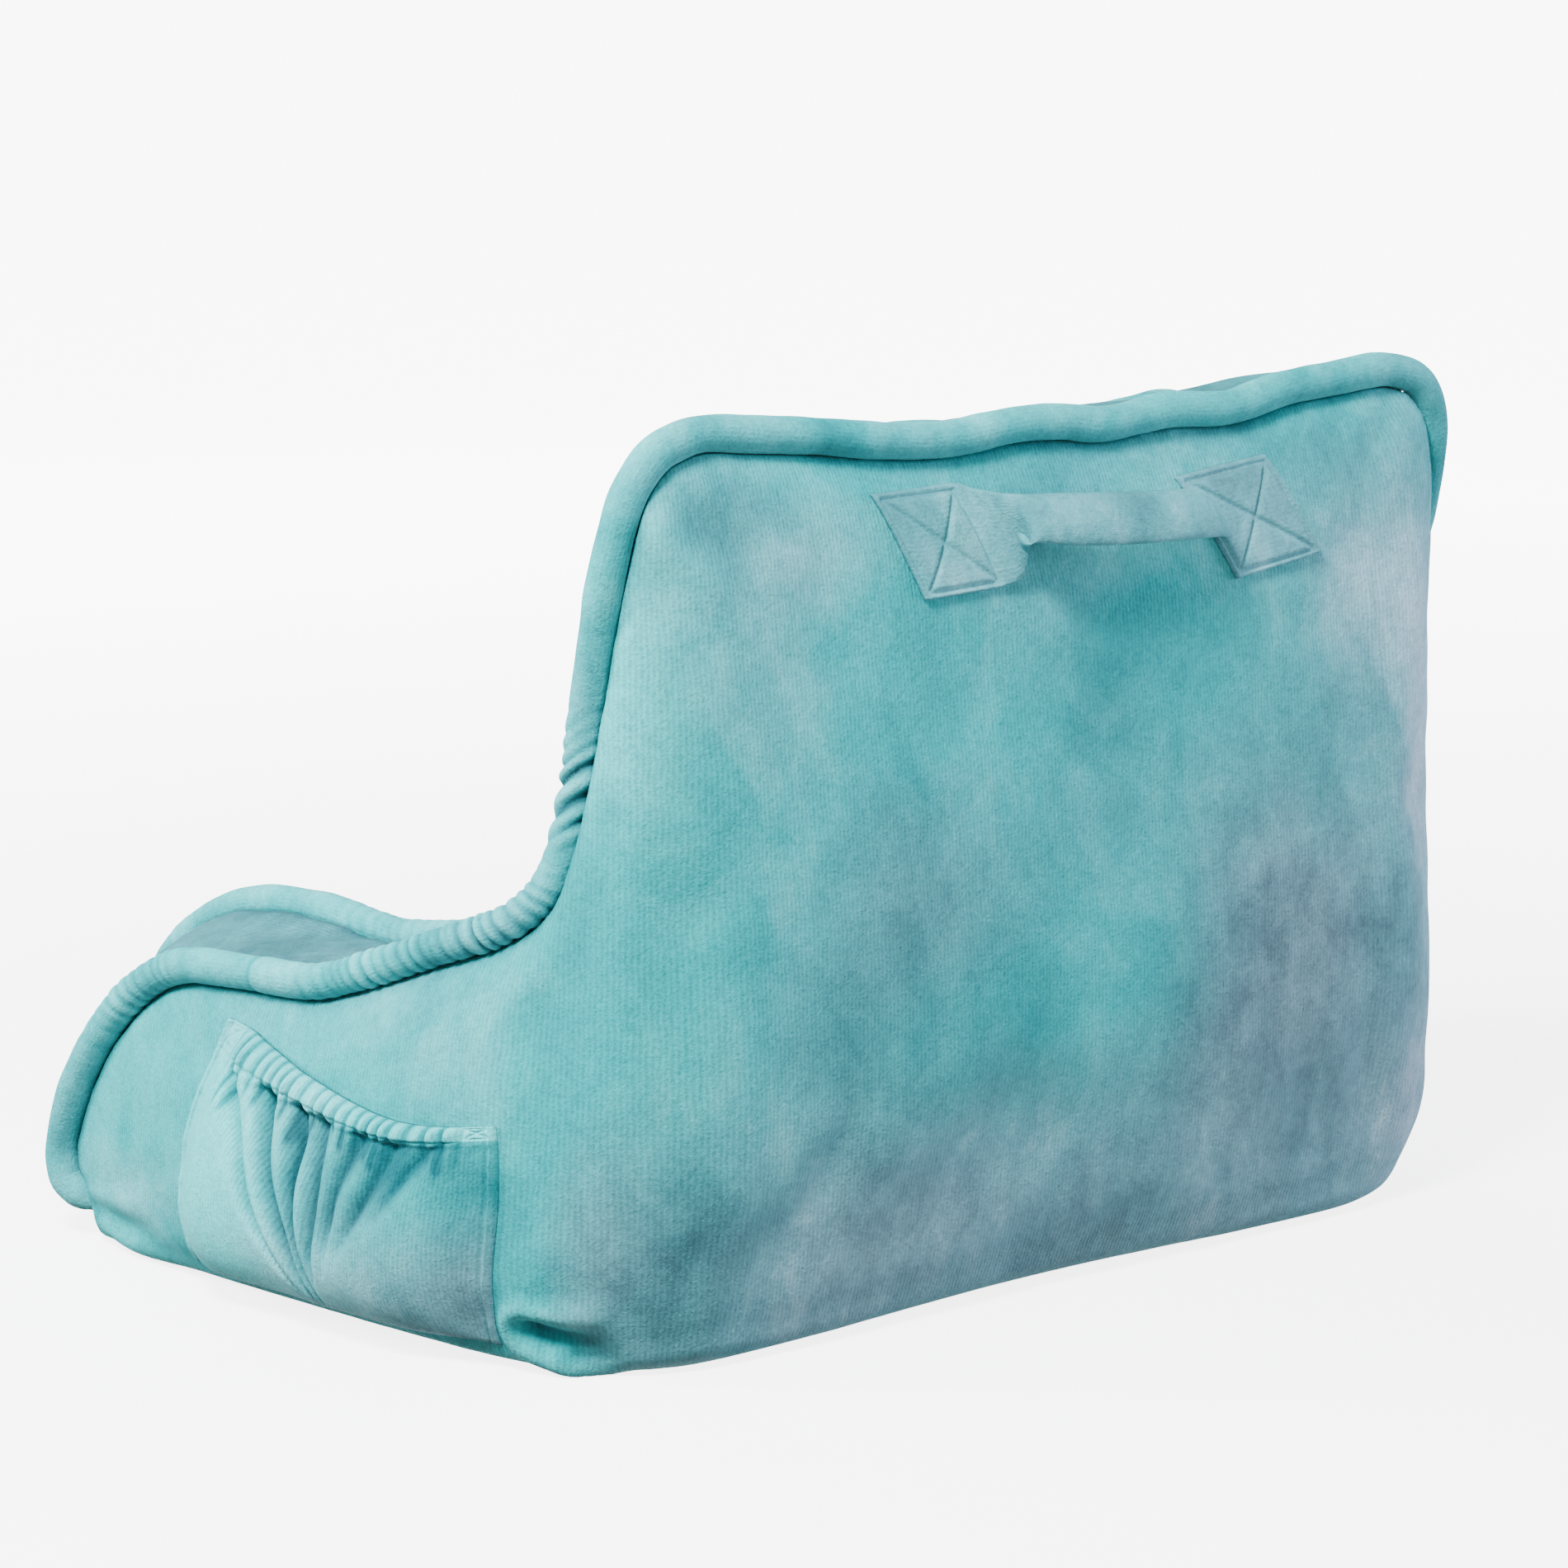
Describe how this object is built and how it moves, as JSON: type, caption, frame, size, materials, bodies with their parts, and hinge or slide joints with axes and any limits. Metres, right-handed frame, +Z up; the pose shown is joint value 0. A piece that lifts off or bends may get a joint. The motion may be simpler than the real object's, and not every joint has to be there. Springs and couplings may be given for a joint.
{
  "type": "reading pillow with arms",
  "caption": "U-shaped reading pillow with a tall back, two short arms, thick welts, a side pocket and a carrying handle on the back.",
  "frame": {"origin": "middle of the bounding box's bottom face, on the surface that the pillow rests on", "axes": "+X across the width, towards the arm that has the pocket; +Y towards the back panel with the handle, so the arms reach towards -Y; +Z up"},
  "size_m": [0.723, 0.4905, 0.4662],
  "materials": {
    "velour": "matt plush pile",
    "welt_velour": "matt plush pile"
  },
  "bodies": {
    "root": {"pillow_body": "velour", "outer_welt": "welt_velour", "inner_welt": "welt_velour", "arm_pocket": "velour", "carry_handle": "velour"}
  },
  "joints": []
}
